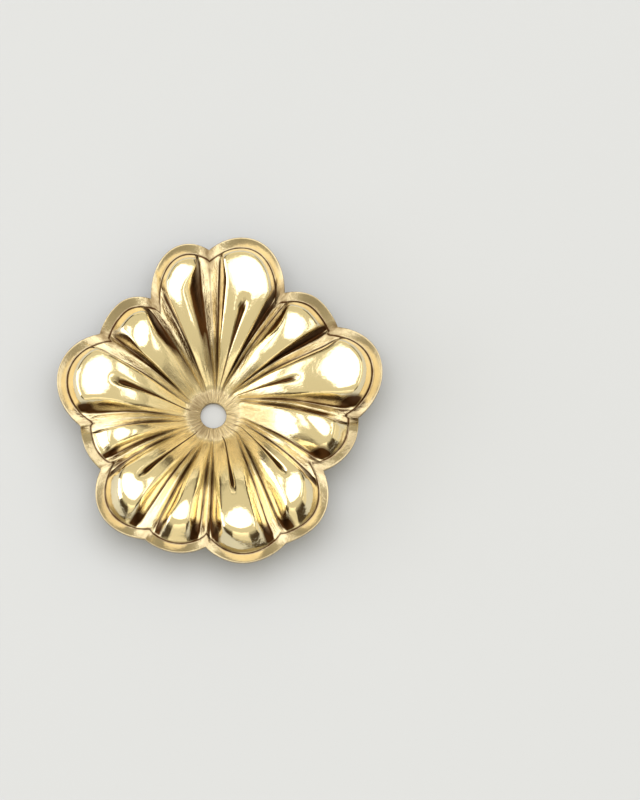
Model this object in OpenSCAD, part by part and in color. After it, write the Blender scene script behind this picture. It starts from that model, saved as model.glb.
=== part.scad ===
// Earring jacket: a flower die-struck from one piece of gold sheet.
// It lies face up on the flat end of its centre cone. The origin is on the axis of the
// earring post's hole, at the back face of that flat end, and +Z points out of the face.

/* [Flower] */
// Nominal width of the flower
flower_w = 12; // [11:0.5:14]
// Thickness of the sheet, along the press
sheet_t = 0.2; // [0.15:0.01:0.3]
// Height of the narrow pleats between the petals
pleat_h = 0.16; // [0:0.02:0.2]

/* [Crowns] */
// Rise of a petal's crown from the hub for each mm outwards
crown_rate = 0.86; // [0.84:0.01:0.9]
// Fall of a crown's sides below its middle, for each mm of its half width
crown_round = 0.16; // [0:0.01:0.2]
// Depth of the V in a split petal, as a share of the crown's height
groove_depth = 0.4; // [0:0.05:0.5]
// Extra height of a bulb over its crown
bulb_rise = 0.08; // [0:0.01:0.12]
// Distance of a bulb's top from the petal's tip
top_inset = 1.42; // [1.34:0.02:1.5]

/* [Brim] */
// Width of the narrow brim round every petal
brim_w = 0.37; // [0.3:0.01:0.5]
// Height of the brim's edge above its inner side
lip_h = 0.13; // [0:0.01:0.2]
// Height of a petal's tip above the notches beside it
brim_lift = 0.34; // [0:0.02:0.4]

/* [Cone] */
// Diameter of the hole for the earring post
hole_d = 0.94; // [0.8:0.02:1.1]
// Diameter of the flat end of the cone
hub_d = 1.6; // [1.4:0.05:1.7]
// Rise of the cone's valleys for each mm outwards
cone_rate = 0.66; // [0.5:0.02:0.7]
// Height at which the valleys level out
shelf_z = 1.42; // [1.3:0.02:1.5]
// Fall of the valleys beyond the cone for each mm outwards
shelf_rate = 0.09; // [0:0.01:0.12]

/* [Hidden] */
hub_r = hub_d / 2;
unit = flower_w / 2;
cone_end = hub_r + (shelf_z - sheet_t) / cone_rate;
// Length of the bend between the hub and the cone, and depth of the bend at the shelf
hub_bend = 0.3;
shelf_bend = 0.5;
// Share of a bulb's height at the foot of its crown, the crown's reach in widths of the
// wall, and the rounding between wall and crown
crown_foot = 0.88;
crown_w = 2;
crown_bend = 0.9;
// Length of a bulb's rise on either side of its top, and the place before the tip where a
// petal has its bulb's width, with the length over which it gets there
bulb_run = 1.3;
bulb_end = 0.9;
bulb_len = 1.1;
// Height that a flank aims at, in heights of its crown, and the rounding between the two
flank_aim = 1.25;
flank_bend = 0.6;
// Power by which the lift of a petal's tip grows outwards
lift_power = 3;
// Distances over which a pleat rises from the hub and fades into the brim
pleat_start = 1;
pleat_fade = 0.5;
// Width of a groove's outer end as a share of its crown, and the length of that end
groove_w = 0.36;
groove_fade = 0.7;
// Radii between which the fold lines lean
lean_start = 1.1;
lean_end = 4.6;
// Columns over a pleat, a flank, the crown, a flank and a pleat
FOLD_STEPS = [1, 2, 6, 2, 1];
// Rings on the ridges, on the walls with the shoulder above them, and on the brim, and the
// width of wall and shoulder together in widths of the wall
ridge_rings = 12;
wall_rings = 5;
brim_rings = 2;
shoulder_w = 1.9;

// Petals anticlockwise from the right. A row's notch is the one before its petal. The pleat
// on it leans by skew and falls over the angles before and after it. Low and high are the
// ridge's edges, bulb_low and bulb_high the bulb's. Angles are in degrees, reaches in half
// widths of the flower, and heights and widths in mm. A groove reach of 0 is no groove.
NOTCH = 0;
NOTCH_REACH = 1;
SKEW = 2;
BEFORE = 3;
AFTER = 4;
LOW = 5;
HIGH = 6;
BULB_LOW = 7;
BULB_HIGH = 8;
TIP = 9;
TIP_REACH = 10;
TOP = 11;
WALL_W = 12;
GROOVE_REACH = 13;
PETALS = [
    // notch, reach, skew, before, after, low, high, bulb low, bulb high, tip, reach, top, wall, groove
    [-3.5,  0.88,  0.85,  2.5, 4,   6,     26,    6.5,   27.5,  17,  1.058, 2.3,  0.22, 0.58],
    [34,    0.91,  0.4,   4,   1.5, 37.5,  47.5,  38,    53,    45,  0.925, 2.15, 0.2,  0],
    [59,    0.84,  0.3,   2.5, 2.5, 63.5,  83.7,  65,    86,    78,  1.075, 2.35, 0.2,  0.72],
    [91.5,  0.99,  -0.15, 4,   4,   105,   112,   97,    110,   100, 1.03,  2.3,  0.2,  0],
    [119,   0.78,  -0.2,  6,   3,   131,   142,   126,   139,   132, 0.86,  2.05, 0.2,  0],
    [146,   0.83,  0.1,   2.5, 6,   154,   176,   154,   177,   166, 0.965, 2.25, 0.22, 0.66],
    [187.5, 0.81,  0,     5.5, 4,   194.5, 201,   193,   202,   197, 0.815, 1.95, 0.3,  0],
    [209,   0.775, -0.1,  3,   3,   217,   233,   216,   233,   230, 0.96,  2.25, 0.4,  0.66],
    [243,   0.905, 0.15,  5,   2,   251.5, 257.5, 249.5, 258,   252, 0.932, 2.15, 0.42, 0],
    [267,   0.857, 0,     3,   2,   274.5, 289,   275,   289,   285, 0.988, 2.25, 0.45, 0.58],
    [298,   0.94,  0.6,   3,   2,   307.5, 321,   306.5, 320.5, 308, 0.965, 2.2,  0.42, 0.64],
    [330,   0.77,  0.5,   5,   3,   346,   351.5, 342.5, 352,   349, 0.888, 2.05, 0.3,  0]
];
petals = len(PETALS);

function mix(a, b, t) = a + (b - a) * t;
function clamp01(v) = min(max(v, 0), 1);
function smooth01(v) = let(t = clamp01(v)) t * t * (3 - 2 * t);
function soft_ramp(v, bend) = v < 0 ? 0 : v < bend ? v * v / (2 * bend) : v - bend / 2;
function soft_min(a, b, bend) = min(a, b) - pow(max(bend - abs(a - b), 0), 2) / (4 * bend);

function petal(i) = PETALS[(i + petals) % petals];
function next_notch(i) = petal(i + 1)[NOTCH] + ((i + petals) % petals == petals - 1 ? 360 : 0);
// Share of the way from the petal's tip to its notches, which are at -1 and 1
function from_tip(i, angle) =
    let(tip = petal(i)[TIP])
    (angle - tip) / (angle < tip ? tip - petal(i)[NOTCH] : next_notch(i) - tip);

// The outline's scallops are parabolas from each petal's tip to its notches
function scallop(i, from) =
    petal(i)[TIP_REACH] - (from < 0 ? petal(i) : petal(i + 1))[NOTCH_REACH];
function reach(i, angle) =
    let(from = from_tip(i, angle)) unit * (petal(i)[TIP_REACH] - scallop(i, from) * pow(from, 2));
// Radial length over which the outline moves in by 1 mm
function oblique(i, angle) =
    let(
        from = from_tip(i, angle),
        span = from < 0 ? petal(i)[TIP] - petal(i)[NOTCH] : next_notch(i) - petal(i)[TIP]
    )
    norm([1, 2 * unit * scallop(i, from) * from / (span * PI / 180) / reach(i, angle)]);
function edge_oblique(i, angle) =
    angle > petal(i)[NOTCH] ? oblique(i, angle)
        : (oblique(i, angle) + oblique(i - 1, next_notch(i - 1))) / 2;

// Turn of a fold line at a radius from its angle at the outline
function lean(i, angle, r) =
    let(
        share = (angle - petal(i)[NOTCH]) / (next_notch(i) - petal(i)[NOTCH]),
        skew = mix(petal(i)[SKEW], petal(i + 1)[SKEW], share)
    )
    skew * 180 / PI * (1 / min(max(r, lean_start), lean_end) - 1 / lean_end);
// Angles of the notch, first valley, crown's two edges, last valley and next notch
function fold_lines(i, r) =
    let(
        p = petal(i),
        bulb = smooth01((r - unit * p[TIP_REACH] + bulb_end + bulb_len) / bulb_len),
        at_rim = [
            p[NOTCH], p[NOTCH] + p[AFTER],
            mix(p[LOW], p[BULB_LOW], bulb), mix(p[HIGH], p[BULB_HIGH], bulb),
            next_notch(i) - petal(i + 1)[BEFORE], next_notch(i)
        ]
    )
    [for (angle = at_rim) angle + lean(i, angle, r)];
// Angle of a place among fold lines, where 0 is the notch and 5 the next notch
function fold_angle(lines, fold) =
    let(k = min(floor(fold), 4)) mix(lines[k], lines[k + 1], fold - k);

// Front face of the valleys, which is a cone that levels out
function floor_z(r) =
    soft_min(
        sheet_t + cone_rate * soft_ramp(r - hub_r, hub_bend),
        shelf_z - shelf_rate * (r - cone_end),
        shelf_bend
    );
// Line along a petal's crown: straight up the cone, then one arch with the bulb on it
function crest_z(i, r) =
    let(
        top_r = unit * petal(i)[TIP_REACH] - top_inset,
        rise = petal(i)[TOP] - bulb_rise - sheet_t,
        arch = 2 * (top_r - hub_r - hub_bend / 2 - rise / crown_rate)
    )
    sheet_t + crown_rate * soft_ramp(r - hub_r, hub_bend)
    - crown_rate * pow(max(r - top_r + arch, 0), 2) / (2 * arch)
    + bulb_rise * smooth01(1 - abs(r - top_r) / bulb_run);
// Share of a bulb's height at a distance inside the brim
function wall_share(i, inset) =
    let(steps_in = max(inset, 0) / petal(i)[WALL_W])
    max(0, soft_min(
        steps_in,
        1 - (1 - crown_foot) * pow(1 - clamp01(steps_in / crown_w), 2),
        crown_bend
    ));
// Share of depth in the V that splits a petal's crown, which opens outwards to its end
function groove(i, across, r) =
    let(
        end = unit * petal(i)[GROOVE_REACH],
        width = groove_w * clamp01((r - hub_r) / (end - hub_r))
    )
    r > hub_r && r < end ? smooth01((end - r) / groove_fade) * max(1 - across / width, 0) : 0;
// Share of a pleat's height, which is a roof with its top on the notch's line
function pleat_share(fold, inset, r) =
    max(1 - fold, fold - 4, 0)
    * smooth01((r - hub_r) / pleat_start) * smooth01(inset / pleat_fade);
// Share of a crown's height on its flanks
function flank_share(fold) =
    soft_min(flank_aim * clamp01(min(fold - 1, 4 - fold)), 1, flank_bend)
    / soft_min(flank_aim, 1, flank_bend);

// Point of the front face at a radius, on a fold's line
function pressed_point(i, fold, r) =
    let(
        lines = fold_lines(i, r),
        angle = fold_angle(lines, fold),
        rim_angle = min(max(angle, petal(i)[NOTCH]), next_notch(i)),
        edge = reach(i, rim_angle),
        inset = (edge - r) / edge_oblique(i, rim_angle),
        outwards = max(r - hub_r, 0) / (edge - hub_r),
        sheet_z = floor_z(r)
            + brim_lift * pow(outwards, lift_power) * (1 - pow(from_tip(i, rim_angle), 2))
            + lip_h * (1 - clamp01(inset / brim_w)),
        half_w = r * (lines[3] - lines[2]) * PI / 180 / 2,
        across = clamp01(abs(2 * fold - 5)),
        crown_z = crest_z(i, r) - crown_round * half_w * pow(across, 2),
        crown = max(crown_z - sheet_z, 0) * max(flank_share(fold), 0)
            * wall_share(i, inset - brim_w) * (1 - groove_depth * groove(i, across, r)),
        pleat = pleat_h * pleat_share(fold, inset, r)
    )
    [r * cos(angle), r * sin(angle), sheet_z + crown + pleat];

// Radii of a column's points, from the hub out to the edge
function column_radii(i, fold) =
    let(
        angle = fold_angle(fold_lines(i, unit * petal(i)[TIP_REACH]), fold),
        rim_angle = min(max(angle, petal(i)[NOTCH]), next_notch(i)),
        edge = reach(i, rim_angle),
        foot = edge - brim_w * edge_oblique(i, rim_angle),
        shoulder = foot - shoulder_w * petal(i)[WALL_W] * edge_oblique(i, rim_angle)
    )
    concat(
        [for (k = [0:ridge_rings - 1]) mix(hub_r, shoulder, k / ridge_rings)],
        [for (k = [0:wall_rings - 1]) mix(shoulder, foot, k / wall_rings)],
        [for (k = [0:brim_rings]) mix(foot, edge, k / brim_rings)]
    );

// Columns as pairs of a petal and a place across its folds
COLUMNS = [
    for (i = [0:petals - 1])
        for (k = [0:len(FOLD_STEPS) - 1])
            for (step = [0:FOLD_STEPS[k] - 1]) [i, k + step / FOLD_STEPS[k]]
];
columns = len(COLUMNS);
rings = ridge_rings + wall_rings + brim_rings + 1;
FRONT = [for (c = COLUMNS) for (r = column_radii(c[0], c[1])) pressed_point(c[0], c[1], r)];
BACK = [for (p = FRONT) p - [0, 0, sheet_t]];
function at(c, ring, back) = (back ? columns * rings : 0) + (c % columns) * rings + ring;
function quad(a, b, c, d) = [[a, b, c], [a, c, d]];

module flower_sheet() {
    grid = [for (c = [0:columns - 1]) for (k = [0:rings - 2]) [c, k]];
    front_faces = [
        for (g = grid)
            each quad(at(g[0], g[1], false), at(g[0] + 1, g[1], false),
                      at(g[0] + 1, g[1] + 1, false), at(g[0], g[1] + 1, false))
    ];
    back_faces = [
        for (g = grid)
            each quad(at(g[0], g[1], true), at(g[0], g[1] + 1, true),
                      at(g[0] + 1, g[1] + 1, true), at(g[0] + 1, g[1], true))
    ];
    edge_faces = [
        for (c = [0:columns - 1])
            each quad(at(c, rings - 1, false), at(c + 1, rings - 1, false),
                      at(c + 1, rings - 1, true), at(c, rings - 1, true))
    ];
    hub_faces = [
        [for (c = [0:columns - 1]) at(columns - 1 - c, 0, false)],
        [for (c = [0:columns - 1]) at(c, 0, true)]
    ];
    polyhedron(
        points = concat(FRONT, BACK),
        faces = concat(front_faces, back_faces, edge_faces, hub_faces),
        convexity = 6
    );
}

module flower_jacket() {
    color([0.86, 0.72, 0.4])
    difference() {
        flower_sheet();
        translate([0, 0, -sheet_t])
            cylinder(d = hole_d, h = 3 * sheet_t, $fn = 96);
    }
}

flower_jacket();
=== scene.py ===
"""Earring jacket: a flower die-struck from one piece of gold sheet, modelled over its frame.

A flat ring of sheet is spun, drawn out to the flower's outline and pressed into petals, valleys
and pleats, then given its thickness. The flower's sizes are in millimetres and the stage's in
metres. Angles are in degrees.
"""
import math
from collections import namedtuple

import bmesh
import bpy
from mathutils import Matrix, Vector


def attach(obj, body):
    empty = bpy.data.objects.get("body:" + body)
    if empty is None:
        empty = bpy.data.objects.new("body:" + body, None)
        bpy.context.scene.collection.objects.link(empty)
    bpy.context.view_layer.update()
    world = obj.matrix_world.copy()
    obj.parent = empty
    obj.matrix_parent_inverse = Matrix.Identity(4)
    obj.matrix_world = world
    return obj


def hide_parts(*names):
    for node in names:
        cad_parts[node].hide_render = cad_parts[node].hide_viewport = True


bl_info = {
    "name": "Stamped Flower Earring Jacket",
    "version": (1, 0, 0),
    "blender": (4, 5, 0),
    "location": "View3D > Sidebar > Earring Jacket",
    "description": "Presses a sheet-gold flower earring jacket and sets its stage",
    "category": "Object",
}

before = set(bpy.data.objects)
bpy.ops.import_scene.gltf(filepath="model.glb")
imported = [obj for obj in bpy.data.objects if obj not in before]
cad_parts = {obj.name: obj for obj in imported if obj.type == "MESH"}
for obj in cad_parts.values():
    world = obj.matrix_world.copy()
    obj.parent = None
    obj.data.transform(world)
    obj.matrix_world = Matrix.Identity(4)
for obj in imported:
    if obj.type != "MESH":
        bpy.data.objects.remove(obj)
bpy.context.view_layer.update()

MM = 0.001

# Petals anticlockwise from the right. A row's notch is the one before its petal, and its pleat
# leans by skew and falls over the angles before and after it. low and high are the ridge's
# edges, bulb_low and bulb_high the bulb's. Reaches are in half widths of the flower, and a
# groove_reach of 0 is no groove.
Petal = namedtuple("Petal", "notch notch_reach skew before after low high bulb_low bulb_high "
                            "tip tip_reach top wall_w groove_reach")
PETALS = [Petal(*row) for row in (
    (-3.5, 0.88, 0.85, 2.5, 4, 6, 26, 6.5, 27.5, 17, 1.058, 2.3, 0.22, 0.58),
    (34, 0.91, 0.4, 4, 1.5, 37.5, 47.5, 38, 53, 45, 0.925, 2.15, 0.2, 0),
    (59, 0.84, 0.3, 2.5, 2.5, 63.5, 83.7, 65, 86, 78, 1.075, 2.35, 0.2, 0.72),
    (91.5, 0.99, -0.15, 4, 4, 105, 112, 97, 110, 100, 1.03, 2.3, 0.2, 0),
    (119, 0.78, -0.2, 6, 3, 131, 142, 126, 139, 132, 0.86, 2.05, 0.2, 0),
    (146, 0.83, 0.1, 2.5, 6, 154, 176, 154, 177, 166, 0.965, 2.25, 0.22, 0.66),
    (187.5, 0.81, 0, 5.5, 4, 194.5, 201, 193, 202, 197, 0.815, 1.95, 0.3, 0),
    (209, 0.775, -0.1, 3, 3, 217, 233, 216, 233, 230, 0.96, 2.25, 0.4, 0.66),
    (243, 0.905, 0.15, 5, 2, 251.5, 257.5, 249.5, 258, 252, 0.932, 2.15, 0.42, 0),
    (267, 0.857, 0, 3, 2, 274.5, 289, 275, 289, 285, 0.988, 2.25, 0.45, 0.58),
    (298, 0.94, 0.6, 3, 2, 307.5, 321, 306.5, 320.5, 308, 0.965, 2.2, 0.42, 0.64),
    (330, 0.77, 0.5, 5, 3, 346, 351.5, 342.5, 352, 349, 0.888, 2.05, 0.3, 0),
)]

# The press, as in the CAD source: half the flower's nominal width, the sheet and the hub
UNIT = 6.0
SHEET_T = 0.2
HOLE_R = 0.47
HUB_R = 0.8
# The crowns, and the bulbs on them
CROWN_RATE = 0.86
CROWN_ROUND = 0.16
TOP_INSET = 1.42
BULB_RISE = 0.08
BULB_RUN = 1.3
BULB_END = 0.9
BULB_LEN = 1.1
# The walls round the bulbs, and the flanks beside the crowns
CROWN_W = 2.0
CROWN_FOOT = 0.88
CROWN_BEND = 0.9
FLANK_AIM = 1.25
FLANK_BEND = 0.6
# The brim
BRIM_W = 0.37
LIP_H = 0.13
BRIM_LIFT = 0.34
LIFT_POWER = 3
# The valleys, which rise up the cone and level out
CONE_RATE = 0.66
SHELF_Z = 1.42
SHELF_RATE = 0.09
HUB_BEND = 0.3
SHELF_BEND = 0.5
# The pleats, and the V in a split crown
PLEAT_H = 0.16
PLEAT_START = 1.0
PLEAT_FADE = 0.5
GROOVE_DEPTH = 0.4
GROOVE_W = 0.36
GROOVE_FADE = 0.7
# Radii between which the fold lines lean
LEAN_START = 1.1
LEAN_END = 4.6
# Width of the broken corners of the cut edges, which only the scene has
EDGE_BREAK = 0.025

# Columns over a petal and rings from the hub out to the edge of the sheet, with the width of
# wall and shoulder together in widths of the wall
PLEAT_STEPS, FLANK_STEPS, CROWN_STEPS = 4, 8, 16
RIDGE_RINGS, WALL_RINGS, BRIM_RINGS = 44, 16, 6
SHOULDER_W = 1.9

# Wear and painted shade. A pair is where a change sets in, as a radius or an inset from the
# outline, and the length over which it goes on. Where its name has CLEAR, the mark fades out
# there, and else it sets in. FLANK_CLEAR and the valley's width below are shares of the way up a
# flank.
HUB_CLEAR = (HUB_R, 0.4)
CONE_CLEAR = (1.6, 1.6)
PLEAT_CLEAR = (2.6, 1.4)
NOTCH_CLEAR = (0.2, 1.4)
CORNER_CLEAR = (BRIM_W + 0.3, 0.5)
FLANK_CLEAR = (0.4, 0.5)
BRIM_CLEAR = (0.8 * BRIM_W, 0.4 * BRIM_W)
LINES_OFF_BRIM = (BRIM_W, 0.3)
LINES_OFF_HUB = (HUB_R - 0.1, 0.2)
LINES_FULL = (1.0, 1.4)
SHADE_OFF_BRIM = (BRIM_W, 0.1)
SHADE_OFF_HUB = (HUB_R, 0.9)
SHADE_FULL = (2.0, 1.6)
# Widths of the worn and shaded valleys and notches, of the painted dark line along a wall's foot,
# and of the painted fold lines, which widen outwards up to a radius
VALLEY_WEAR_SHADE_W = 0.6
NOTCH_BAND_W = 0.4
WALL_LINE_W = 0.05
LINE_W, LINE_WIDENING, LINE_FULL_R = 0.02, 0.015, 2
# Strengths of the worn metal with its painted shade. The lower pleats have one near the cone and
# one outside it.
PLEAT_WEAR_SHADE = 1
LOW_PLEAT_WEAR_SHADE = (0.5, 0.1)
CONE_WEAR_SHADE, LOW_CONE_WEAR_SHADE = 0.3, 0.8
HUB_WEAR_SHADE = 1.3
NOTCH_WEAR_SHADE, LOW_NOTCH = 1.9, 0.6
BRIM_LOST_AT_NOTCH = 0.8
# Strengths of the painted dark shade, on the left and on the right where there are two
NOTCH_LINE, GROOVE_LINE, LINES_AT_HUB = 0.5, 1.5, 0.4
FLANK_DARK = (0.35, 1.4)
HUB_DARK = (0.5, 0.15)
CORNER_DARK, CORNER_SHARE = 1.3, 0.85
SHADE_AT_HUB = 0.35
NOTCH_DARK = 0.4
# How steeply one side of the flower passes into the other, in the wear and the painted shade
SIDE_CONTRAST = 0.6

# Scales of the metal's streaks, blotches and grain, the streaks' change for each metre of
# radius, and the depth of the relief
STREAK_SCALE = 16.0
BLOTCH_SCALE = 900.0
GRAIN_SCALE = 9000.0
STREAK_RATE = 90
RELIEF_DEPTH = 0.00006

# The photograph: its size and the post hole's place in pixels, and its scale
PHOTO_W, PHOTO_H = 640, 800
HOLE_X, HOLE_Y = 213.4, 416.8
PX_PER_MM = 27.5

# The stage. Azimuth 0 is the camera's side and 90 is the right.
SENSOR_H = 24
FLOOR_HALF_W = 0.6
FLOOR_ROUGHNESS = 0.6
LIGHT_DISTANCE = 0.5
WHITE, COOL, WARM = (1, 1, 1), (0.97, 0.98, 1), (1.0, 0.93, 0.70)
Softbox = namedtuple("Softbox", "name azimuth elevation width height radiance tint")
SOFTBOXES = [Softbox(*row) for row in (
    ("overhead", 180, 80, 0.64, 0.64, 1.6, COOL),
    ("left", 270, 16, 0.50, 0.24, 2.4, WHITE),
    ("left strip", 262, 42, 0.40, 0.10, 1.4, WHITE),
    ("right strip", 98, 42, 0.40, 0.10, 1.4, WHITE),
    ("right", 90, 10, 0.50, 0.18, 0.8, WARM),
    ("front", 0, 16, 0.50, 0.24, 0.8, WARM),
    ("back", 180, 10, 0.45, 0.16, 0.9, WARM),
)]
# The studio's colours from straight below, at 0, to straight above, at 1
DARK_BELOW, DARK_AROUND = (0.05, 0.035, 0.02, 1), (0.07, 0.05, 0.03, 1)
BRIGHT_ABOVE = (0.76, 0.70, 0.52, 1)
STUDIO = ((0.0, DARK_BELOW), (0.60, DARK_AROUND), (0.72, BRIGHT_ABOVE), (1.0, BRIGHT_ABOVE))


def mix(a, b, t):
    return a + (b - a) * t


def clamp01(v):
    return min(max(v, 0), 1)


def smooth01(v):
    t = clamp01(v)
    return t * t * (3 - 2 * t)


def onset(value, start, length):
    """Share that grows smoothly from 0 at a start to 1 a length further on."""
    return smooth01((value - start) / length)


def soft_line(distance, width):
    """Share that falls off on both sides of a line."""
    return math.exp(-(distance / width) ** 2)


def soft_ramp(v, bend):
    """Ramp from 0 with a bend of a given length at its start."""
    return 0 if v < 0 else v * v / (2 * bend) if v < bend else v - bend / 2


def soft_min(a, b, bend):
    """Smaller of two values, rounded where they come within the bend of each other."""
    return min(a, b) - max(bend - abs(a - b), 0) ** 2 / (4 * bend)


def petal(i):
    return PETALS[i % len(PETALS)]


def next_notch(i):
    last = i % len(PETALS) == len(PETALS) - 1
    return petal(i + 1).notch + (360 if last else 0)


def from_tip(i, angle):
    """Share of the way from a petal's tip to its notches, which are at -1 and 1."""
    tip = petal(i).tip
    return (angle - tip) / (tip - petal(i).notch if angle < tip else next_notch(i) - tip)


def scallop(i, start):
    """How far the outline falls from a petal's tip to the notch on the start's side."""
    return petal(i).tip_reach - (petal(i) if start < 0 else petal(i + 1)).notch_reach


def reach(i, angle):
    """Radius of the outline, whose scallops are parabolas from each tip to its notches."""
    start = from_tip(i, angle)
    return UNIT * (petal(i).tip_reach - scallop(i, start) * start ** 2)


def oblique(i, angle):
    """Radial length over which the outline moves in by 1 mm."""
    start = from_tip(i, angle)
    span = petal(i).tip - petal(i).notch if start < 0 else next_notch(i) - petal(i).tip
    fall = 2 * UNIT * scallop(i, start) * start / math.radians(span)
    return math.hypot(1, fall / reach(i, angle))


def edge_oblique(i, angle):
    """Radial length for 1 mm inwards, which at a notch is the mean of its two petals'."""
    if angle > petal(i).notch:
        return oblique(i, angle)
    return (oblique(i, angle) + oblique(i - 1, next_notch(i - 1))) / 2


def lean(i, angle, r):
    """Turn of a fold line at a radius from its angle at the outline."""
    share = (angle - petal(i).notch) / (next_notch(i) - petal(i).notch)
    skew = mix(petal(i).skew, petal(i + 1).skew, share)
    return math.degrees(skew) * (1 / min(max(r, LEAN_START), LEAN_END) - 1 / LEAN_END)


def fold_lines(i, r):
    """Angles of the notch, first valley, crown's two edges, last valley and next notch."""
    p = petal(i)
    bulb = smooth01((r - UNIT * p.tip_reach + BULB_END + BULB_LEN) / BULB_LEN)
    at_rim = (p.notch, p.notch + p.after, mix(p.low, p.bulb_low, bulb),
              mix(p.high, p.bulb_high, bulb), next_notch(i) - petal(i + 1).before, next_notch(i))
    return [angle + lean(i, angle, r) for angle in at_rim]


def fold_angle(lines, fold):
    """Angle of a place among fold lines, where 0 is the notch and 5 the next notch."""
    k = min(int(fold), 4)
    return mix(lines[k], lines[k + 1], fold - k)


def from_middle(fold):
    """Share of the way from a crown's middle to its edges."""
    return clamp01(abs(2 * fold - 5))


def up_flank(fold):
    """Share of the way up a flank from its valley, below 0 on pleats and 1 on the crown."""
    return min(fold - 1, 1, 4 - fold)


def floor_z(r):
    """Front face of the valleys, which is a cone that levels out."""
    cone_end = HUB_R + (SHELF_Z - SHEET_T) / CONE_RATE
    return soft_min(SHEET_T + CONE_RATE * soft_ramp(r - HUB_R, HUB_BEND),
                    SHELF_Z - SHELF_RATE * (r - cone_end), SHELF_BEND)


def crest_z(i, r):
    """Line along a petal's crown: straight up the cone, then one arch and the bulb on it."""
    top_r = UNIT * petal(i).tip_reach - TOP_INSET
    rise = petal(i).top - BULB_RISE - SHEET_T
    arch = 2 * (top_r - HUB_R - HUB_BEND / 2 - rise / CROWN_RATE)
    return (SHEET_T + CROWN_RATE * soft_ramp(r - HUB_R, HUB_BEND)
            - CROWN_RATE * max(r - top_r + arch, 0) ** 2 / (2 * arch)
            + BULB_RISE * smooth01(1 - abs(r - top_r) / BULB_RUN))


def wall_share(i, inset):
    """Share of a bulb's height at a distance inside the brim."""
    if inset <= 0:
        return 0
    crown = 1 - (1 - CROWN_FOOT) * (1 - clamp01(inset / petal(i).wall_w / CROWN_W)) ** 2
    return max(soft_min(inset / petal(i).wall_w, crown, CROWN_BEND), 0)


def groove(i, across, r):
    """Share of depth in the V that splits a petal's crown, which opens outwards to its end."""
    end = UNIT * petal(i).groove_reach
    width = GROOVE_W * clamp01((r - HUB_R) / (end - HUB_R))
    return smooth01((end - r) / GROOVE_FADE) * max(1 - across / width, 0) if width else 0


def pressed_point(i, fold, r):
    """Point of the front face at a radius on a fold's line, with its shares of wear."""
    lines = fold_lines(i, r)
    angle = fold_angle(lines, fold)
    rim_angle = min(max(angle, petal(i).notch), next_notch(i))
    edge = reach(i, rim_angle)
    inset = (edge - r) / edge_oblique(i, rim_angle)
    outwards = max(r - HUB_R, 0) / (edge - HUB_R)
    z = (floor_z(r) + BRIM_LIFT * outwards ** LIFT_POWER * (1 - from_tip(i, rim_angle) ** 2)
         + LIP_H * (1 - clamp01(inset / BRIM_W)))
    if fold < 1 or fold > 4:
        roof = 1 - fold if fold < 1 else fold - 4
        height = PLEAT_H * roof * onset(r, HUB_R, PLEAT_START) * smooth01(inset / PLEAT_FADE)
    else:
        half = r * math.radians(lines[3] - lines[2]) / 2
        across = from_middle(fold)
        rise = max(crest_z(i, r) - CROWN_ROUND * half * across ** 2 - z, 0)
        height = (rise * soft_min(FLANK_AIM * up_flank(fold), 1, FLANK_BEND)
                  / soft_min(FLANK_AIM, 1, FLANK_BEND) * wall_share(i, inset - BRIM_W)
                  * (1 - GROOVE_DEPTH * groove(i, across, r)))
    turn = math.radians(angle)
    place = Vector((r * math.cos(turn), r * math.sin(turn), z + height))
    gaps = [math.radians(abs(angle - line)) * r for line in lines]
    return place, wear_and_painted_shade(i, fold, inset, r, turn, gaps)


def on_side(direction):
    """Share of one side of the flower, for a direction that is 1 there and -1 opposite."""
    return smooth01(0.5 + SIDE_CONTRAST * direction)


def folds_wear_and_shade(flank, r, low):
    """Worn metal and painted shade in the valleys, on the pleats and on the cone, in other
    amounts on the lower half.
    """
    pleat = mix(PLEAT_WEAR_SHADE, mix(*LOW_PLEAT_WEAR_SHADE, onset(r, *PLEAT_CLEAR)), low)
    valley = pleat if flank < 0 else mix(pleat, 0, smooth01(flank / VALLEY_WEAR_SHADE_W))
    return max(valley, mix(CONE_WEAR_SHADE, LOW_CONE_WEAR_SHADE, low) * (1 - onset(r, *CONE_CLEAR)))


def dark_lines(i, fold, inset, r, gaps):
    """Painted shade as thin dark lines along the folds and the wall's foot and in the V."""
    thin = LINE_W + LINE_WIDENING * min(r, LINE_FULL_R)
    inside = (onset(inset, *LINES_OFF_BRIM) * onset(r, *LINES_OFF_HUB)
              * mix(LINES_AT_HUB, 1, onset(r, *LINES_FULL)))
    return max(soft_line(min(gaps[1], gaps[4]), thin) * inside,
               NOTCH_LINE * soft_line(min(gaps[0], gaps[5]), thin) * inside,
               soft_line(inset - BRIM_W, WALL_LINE_W),
               GROOVE_LINE * groove(i, from_middle(fold), r))


def dark_flanks(fold, flank, inset, r, turn, low):
    """Painted shade on the flanks, most on those that face right, and below in the corners."""
    right = math.sin(turn) * (1 if fold < 2.5 else -1)
    corner = CORNER_DARK * (1 - onset(inset, *CORNER_CLEAR))
    shade = 1 - onset(flank, *FLANK_CLEAR) if flank > 0 else 0
    return (shade * mix(mix(*FLANK_DARK, on_side(right)), corner, CORNER_SHARE * low)
            * onset(inset, *SHADE_OFF_BRIM) * onset(r, *SHADE_OFF_HUB)
            * mix(SHADE_AT_HUB, 1, onset(r, *SHADE_FULL)))


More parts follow.
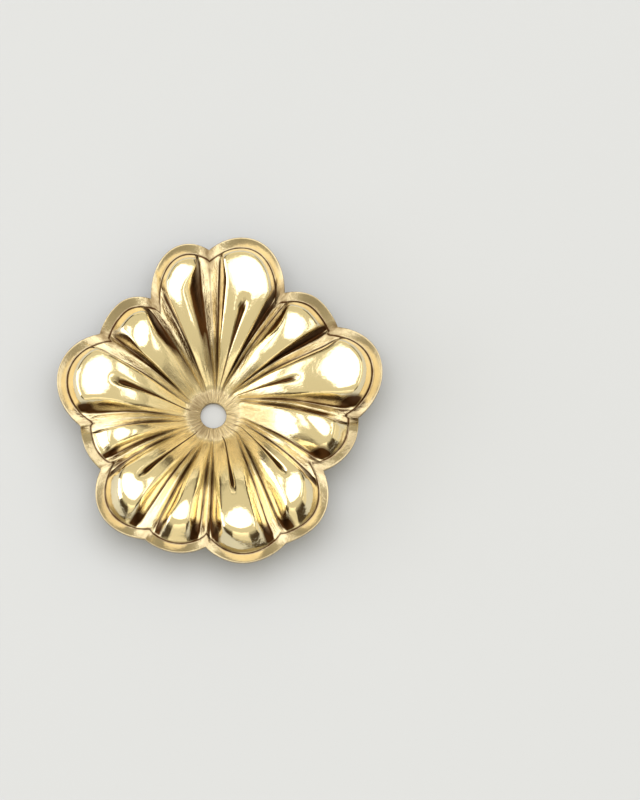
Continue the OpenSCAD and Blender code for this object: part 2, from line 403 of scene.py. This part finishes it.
def wear_and_painted_shade(i, fold, inset, r, turn, gaps):
    """Shares of worn metal with painted shade, dulled brim and painted dark shade at a point,
    from its gaps to the folds.
    """
    flank = up_flank(fold)
    low = 1 - on_side(math.sin(turn))
    near_hub = 1 - onset(r, *HUB_CLEAR)
    # Share at the notches: worn metal and painted shade, less on the lower half, and less dulled
    # brim
    notch = (soft_line(min(gaps[0], gaps[5]), NOTCH_BAND_W) * (1 - onset(inset, *NOTCH_CLEAR))
             * mix(1, LOW_NOTCH, low))
    brim = (1 - onset(inset, *BRIM_CLEAR)) * (1 - BRIM_LOST_AT_NOTCH * notch)
    # Painted shade round the hole, darker on its left side
    hub = mix(*HUB_DARK, on_side(math.cos(turn))) * near_hub
    return (max(folds_wear_and_shade(flank, r, low), HUB_WEAR_SHADE * near_hub, NOTCH_WEAR_SHADE * notch), brim,
            max(dark_lines(i, fold, inset, r, gaps), hub, NOTCH_DARK * notch,
                dark_flanks(fold, flank, inset, r, turn, low)))


def fold_steps():
    """A petal's columns, as places among its fold lines."""
    counts = (PLEAT_STEPS, FLANK_STEPS, CROWN_STEPS, FLANK_STEPS, PLEAT_STEPS)
    return [k + step / count for k, count in enumerate(counts) for step in range(count)]


def ring_radii(i, fold):
    """Radii of a column's points, from the hole out to the edge."""
    rim_angle = fold_angle(fold_lines(i, UNIT * petal(i).tip_reach), fold)
    edge = reach(i, rim_angle)
    foot = edge - BRIM_W * edge_oblique(i, rim_angle)
    shoulder = foot - SHOULDER_W * petal(i).wall_w * edge_oblique(i, rim_angle)
    return ([HOLE_R]
            + [mix(HUB_R, shoulder, k / RIDGE_RINGS) for k in range(RIDGE_RINGS)]
            + [mix(shoulder, foot, k / WALL_RINGS) for k in range(WALL_RINGS)]
            + [mix(foot, edge, k / BRIM_RINGS) for k in range(BRIM_RINGS + 1)])


def spun_blank(bm, columns, rings):
    """Flat ring of sheet with a unit step between its rings, the first at radius 1."""
    first = bmesh.ops.create_vert(bm, co=(1, 0, 0))["vert"]
    line = list(first)
    for _ in range(rings - 1):
        grown = bmesh.ops.extrude_vert_indiv(bm, verts=line[-1:])["verts"]
        bmesh.ops.translate(bm, verts=grown, vec=(1, 0, 0))
        line += grown
    bmesh.ops.spin(bm, geom=line + bm.edges[:], cent=(0, 0, 0), axis=(0, 0, 1),
                   angle=math.tau, steps=columns, use_merge=True)


def press(bm, steps):
    """Move each point of the spun blank to its place in the flower."""
    # Shares kept on each point: wear with painted shade, dulled brim and painted dark shade
    worn = bm.verts.layers.float.new("worn")
    brim = bm.verts.layers.float.new("brim")
    crease = bm.verts.layers.float.new("crease")
    columns = len(PETALS) * len(steps)
    for vert in bm.verts:
        x, y, _ = vert.co
        column = round(math.atan2(y, x) / math.tau * columns) % columns
        ring = round(math.hypot(x, y)) - 1
        i, step = divmod(column, len(steps))
        r = ring_radii(i, steps[step])[ring]
        point, (vert[worn], vert[brim], vert[crease]) = pressed_point(i, steps[step], r)
        vert.co = point * MM


def thicken(bm):
    """Give the pressed skin its back and its cut edges, and break the edges' corners."""
    front = bm.faces[:]
    grown = bmesh.ops.extrude_face_region(bm, geom=front, use_keep_orig=True)["geom"]
    bmesh.ops.translate(bm, vec=(0, 0, -SHEET_T * MM),
                        verts=[part for part in grown if isinstance(part, bmesh.types.BMVert)])
    skins = set(front + grown)
    corners = [edge for edge in bm.edges if len(skins.intersection(edge.link_faces)) == 1]
    bmesh.ops.bevel(bm, geom=corners, offset=EDGE_BREAK * MM, affect="EDGES", segments=2,
                    profile=0.5, material=-1)
    bmesh.ops.recalc_face_normals(bm, faces=bm.faces)


class Shade:
    """A shader socket that takes part in Python sums, and makes the nodes that follow it."""

    def __init__(self, tree, socket=None):
        self.tree, self.socket = tree, socket

    def node(self, kind, inputs=None, output=0, **settings):
        """Add a node, set it up, fill or link its inputs and return one of its outputs."""
        node = self.tree.nodes.new(kind)
        for name, value in settings.items():
            if name == "stops":
                ramp = node.color_ramp
                while len(ramp.elements) < len(value):
                    ramp.elements.new(1)
                for element, (position, colour) in zip(ramp.elements, value):
                    element.position, element.color = position, colour
            else:
                setattr(node, name, value)
        for key, value in (inputs or {}).items():
            if isinstance(value, Shade):
                self.tree.links.new(value.socket, node.inputs[key])
            else:
                node.inputs[key].default_value = value
        return Shade(self.tree, node.outputs[output])

    def math(self, operation, *values, clamp=False):
        return self.node("ShaderNodeMath", dict(enumerate(values)), operation=operation,
                         use_clamp=clamp)

    def __add__(self, other):
        return self.math("ADD", self, other)

    def __sub__(self, other):
        return self.math("SUBTRACT", self, other)

    def __mul__(self, other):
        return self.math("MULTIPLY", self, other)


def blend(shade, share, first, second):
    """Colour that passes from the first to the second with a share."""
    return shade.node("ShaderNodeMix", {0: share, 6: first, 7: second}, output=2,
                      data_type="RGBA")


def gold_material(finish):
    """Polished sheet gold with a dulled brim, worn valleys darkened with painted shade, and
    painted shade in the creases and on the flanks.
    """
    material = bpy.data.materials.new("gold")
    material.use_nodes = True
    tree = material.node_tree
    shader = tree.nodes["Principled BSDF"]
    s = Shade(tree)
    place = s.node("ShaderNodeTexCoord", output="Object")
    # Shares that the press left on each point: wear with painted shade, dulled brim and painted
    # dark shade
    worn = s.node("ShaderNodeAttribute", output="Fac", attribute_name="worn")
    brim = s.node("ShaderNodeAttribute", output="Fac", attribute_name="brim")
    crease = s.node("ShaderNodeAttribute", output="Fac", attribute_name="crease")
    # Streaks that run out from the hole, from the direction of a point and its radius
    flat = s.node("ShaderNodeVectorMath", {0: place, 1: (1, 1, 0)}, operation="MULTIPLY")
    radius = s.node("ShaderNodeVectorMath", {0: flat}, output="Value", operation="LENGTH")
    direction = s.node("ShaderNodeVectorMath", {0: flat}, operation="NORMALIZE")
    ray = s.node("ShaderNodeCombineXYZ", {2: radius * STREAK_RATE})
    polar = s.node("ShaderNodeVectorMath", {0: direction, 1: ray}, operation="ADD")
    streaks = s.node("ShaderNodeTexNoise", {"Vector": polar, "Scale": STREAK_SCALE,
                                            "Detail": 5.0, "Roughness": 0.65})
    blotches = s.node("ShaderNodeTexNoise", {"Vector": place, "Scale": BLOTCH_SCALE,
                                             "Detail": 3.0})
    grain = s.node("ShaderNodeTexNoise", {"Vector": place, "Scale": GRAIN_SCALE, "Detail": 2.0})
    # The shares of wear with painted shade, dulled brim and painted dark shade, broken up by the
    # streaks and blotches
    dull_and_shade = s.math("MULTIPLY", worn, streaks * 1.2 + blotches * 0.6 - 0.4, clamp=True)
    pale = s.math("MULTIPLY", brim, blotches * 0.6 + 0.6, clamp=True)
    dark = s.math("SUBTRACT", crease * (streaks * 1.4 + blotches * 0.8 + 0.4), 0.3, clamp=True)
    colour = blend(s, dull_and_shade, (*finish.polished, 1), (*finish.tarnish_and_shade, 1))
    colour = blend(s, pale, colour, (*finish.brim, 1))
    # Painted dark shade goes over the colour last
    colour = blend(s, dark, colour, (*finish.crease, 1))
    tree.links.new(colour.socket, shader.inputs["Base Color"])
    rough = dull_and_shade * 0.22 + pale * 0.06 + dark * 0.2 + (blotches * 0.06 + (finish.roughness - 0.03))
    tree.links.new(rough.socket, shader.inputs["Roughness"])
    relief = s.node("ShaderNodeBump", {"Height": streaks * (worn * 0.6 + 0.1) + grain * 0.05,
                                       "Strength": 1.0, "Distance": RELIEF_DEPTH})
    tree.links.new(relief.socket, shader.inputs["Normal"])
    shader.inputs["Metallic"].default_value = 1.0
    return material


def floor_material(stage):
    material = bpy.data.materials.new("floor")
    material.use_nodes = True
    shader = material.node_tree.nodes["Principled BSDF"]
    shader.inputs["Base Color"].default_value = (*stage.floor_colour, 1)
    shader.inputs["Roughness"].default_value = FLOOR_ROUGHNESS
    return material


def towards(azimuth, elevation):
    """Unit vector towards a place seen from the object, azimuth 0 being the camera's side."""
    turn, rise = math.radians(azimuth), math.radians(elevation)
    return Vector((math.sin(turn) * math.cos(rise), -math.cos(turn) * math.cos(rise),
                   math.sin(rise)))


def hang(scene, box):
    """Add a softbox as an area light, round where it is as wide as high."""
    light = bpy.data.lights.new(box.name, "AREA")
    round_one = box.width == box.height
    light.shape = "ELLIPSE" if round_one else "RECTANGLE"
    light.size, light.size_y = box.width, box.height
    area = box.width * box.height * (math.pi / 4 if round_one else 1)
    light.energy = box.radiance * math.pi * area
    light.color = box.tint
    lamp = bpy.data.objects.new(box.name, light)
    way = towards(box.azimuth, box.elevation)
    lamp.location = way * LIGHT_DISTANCE
    lamp.rotation_euler = way.to_track_quat("Z", "Y").to_euler()
    scene.collection.objects.link(lamp)


class GoldFinish(bpy.types.PropertyGroup):
    polished: bpy.props.FloatVectorProperty(
        name="Polished Gold", description="Colour of the polished ridges and bulbs",
        subtype="COLOR", size=3, min=0, max=1, default=(0.92, 0.80, 0.52))
    # Colour that the worn metal passes into, which also paints shade in the valleys
    tarnish_and_shade: bpy.props.FloatVectorProperty(
        name="Tarnish", description="Colour of the worn metal along valleys and creases",
        subtype="COLOR", size=3, min=0, max=1, default=(0.37, 0.275, 0.15))
    brim: bpy.props.FloatVectorProperty(
        name="Brim", description="Colour of the dulled brim round the petals",
        subtype="COLOR", size=3, min=0, max=1, default=(0.41, 0.335, 0.21))
    # Colour of the painted shade in the folds, on the flanks and round the hole
    crease: bpy.props.FloatVectorProperty(
        name="Crease", description="Colour of the dark lines in the folds",
        subtype="COLOR", size=3, min=0, max=1, default=(0.07, 0.03, 0.01))
    roughness: bpy.props.FloatProperty(
        name="Roughness", description="Roughness of the polished metal",
        subtype="FACTOR", min=0.04, max=0.6, default=0.10)


class StageSettings(bpy.types.PropertyGroup):
    floor_colour: bpy.props.FloatVectorProperty(
        name="Floor Colour", description="Colour of the plain floor",
        subtype="COLOR", size=3, min=0, max=1, default=(0.56, 0.585, 0.65))
    elevation: bpy.props.FloatProperty(
        name="Camera Elevation", description="Angle of the camera above the floor",
        subtype="ANGLE", default=math.radians(77))
    distance: bpy.props.FloatProperty(
        name="Camera Distance", description="Distance of the camera from the flower",
        unit="LENGTH", min=0.1, default=0.5)


class PressFlower(bpy.types.Operator):
    """Press the sheet-gold flower and let it stand for the frame's solid"""
    bl_idname = "earring_jacket.press_flower"
    bl_label = "Press Flower"

    def execute(self, context):
        steps = fold_steps()
        bm = bmesh.new()
        spun_blank(bm, len(PETALS) * len(steps), len(ring_radii(0, 0)))
        press(bm, steps)
        thicken(bm)
        mesh = bpy.data.meshes.new("pressed_flower")
        bm.to_mesh(mesh)
        bm.free()
        mesh.shade_smooth()
        mesh.materials.append(gold_material(context.scene.gold_finish))
        flower = bpy.data.objects.new("pressed_flower", mesh)
        context.scene.collection.objects.link(flower)
        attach(flower, "root")
        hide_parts("flower_jacket")
        return {"FINISHED"}


class SetStage(bpy.types.Operator):
    """Lay the pale floor, hang the soft lights and place the camera"""
    bl_idname = "earring_jacket.set_stage"
    bl_label = "Set Stage"

    def execute(self, context):
        stage = context.scene.jacket_stage
        scene = context.scene
        self.lay_floor(scene, stage)
        self.hang_lights(scene)
        self.place_camera(scene, stage)
        scene.view_settings.view_transform = "Standard"
        return {"FINISHED"}

    def lay_floor(self, scene, stage):
        bm = bmesh.new()
        bmesh.ops.create_grid(bm, x_segments=1, y_segments=1, size=FLOOR_HALF_W)
        mesh = bpy.data.meshes.new("floor")
        bm.to_mesh(mesh)
        bm.free()
        mesh.materials.append(floor_material(stage))
        floor = bpy.data.objects.new("floor", mesh)
        scene.collection.objects.link(floor)

    def hang_lights(self, scene):
        for box in SOFTBOXES:
            hang(scene, box)
        world = bpy.data.worlds.new("studio")
        world.use_nodes = True
        tree = world.node_tree
        s = Shade(tree)
        way = s.node("ShaderNodeTexCoord", output="Generated")
        height = s.node("ShaderNodeSeparateXYZ", {0: way}, output="Z") * 0.5 + 0.5
        sky = s.node("ShaderNodeValToRGB", {0: height}, stops=STUDIO)
        tree.links.new(sky.socket, tree.nodes["Background"].inputs["Color"])
        scene.world = world

    def place_camera(self, scene, stage):
        camera = bpy.data.cameras.new("camera")
        camera.sensor_fit = "VERTICAL"
        camera.sensor_height = SENSOR_H
        camera.lens = SENSOR_H * stage.distance / (PHOTO_H / PX_PER_MM * MM)
        camera.clip_start = 0.01
        rise = math.degrees(stage.elevation)
        way = towards(0, rise)
        up = towards(180, 90 - rise)
        # The hole is the origin, so the picture's middle lies to its right and above it
        across = Vector((1, 0, 0)) * (PHOTO_W / 2 - HOLE_X)
        middle = (across + up * (HOLE_Y - PHOTO_H / 2)) / PX_PER_MM * MM
        holder = bpy.data.objects.new("camera", camera)
        holder.location = middle + way * stage.distance
        holder.rotation_euler = way.to_track_quat("Z", "Y").to_euler()
        scene.collection.objects.link(holder)
        scene.camera = holder


class JacketPanel(bpy.types.Panel):
    """Sizes, finish and stage of the earring jacket"""
    bl_idname = "VIEW3D_PT_earring_jacket"
    bl_label = "Earring Jacket"
    bl_space_type = "VIEW_3D"
    bl_region_type = "UI"
    bl_category = "Earring Jacket"

    def draw(self, context):
        layout = self.layout
        layout.use_property_split = True
        finish = context.scene.gold_finish
        for name in ("polished", "tarnish_and_shade", "brim", "crease", "roughness"):
            layout.prop(finish, name)
        layout.operator(PressFlower.bl_idname)
        stage = context.scene.jacket_stage
        for name in ("floor_colour", "elevation", "distance"):
            layout.prop(stage, name)
        layout.operator(SetStage.bl_idname)


CLASSES = (GoldFinish, StageSettings, PressFlower, SetStage, JacketPanel)


def register():
    for cls in CLASSES:
        bpy.utils.register_class(cls)
    bpy.types.Scene.gold_finish = bpy.props.PointerProperty(type=GoldFinish)
    bpy.types.Scene.jacket_stage = bpy.props.PointerProperty(type=StageSettings)


def unregister():
    del bpy.types.Scene.jacket_stage
    del bpy.types.Scene.gold_finish
    for cls in reversed(CLASSES):
        bpy.utils.unregister_class(cls)


def main():
    register()
    bpy.ops.earring_jacket.press_flower()
    bpy.ops.earring_jacket.set_stage()


if __name__ == "__main__":
    main()
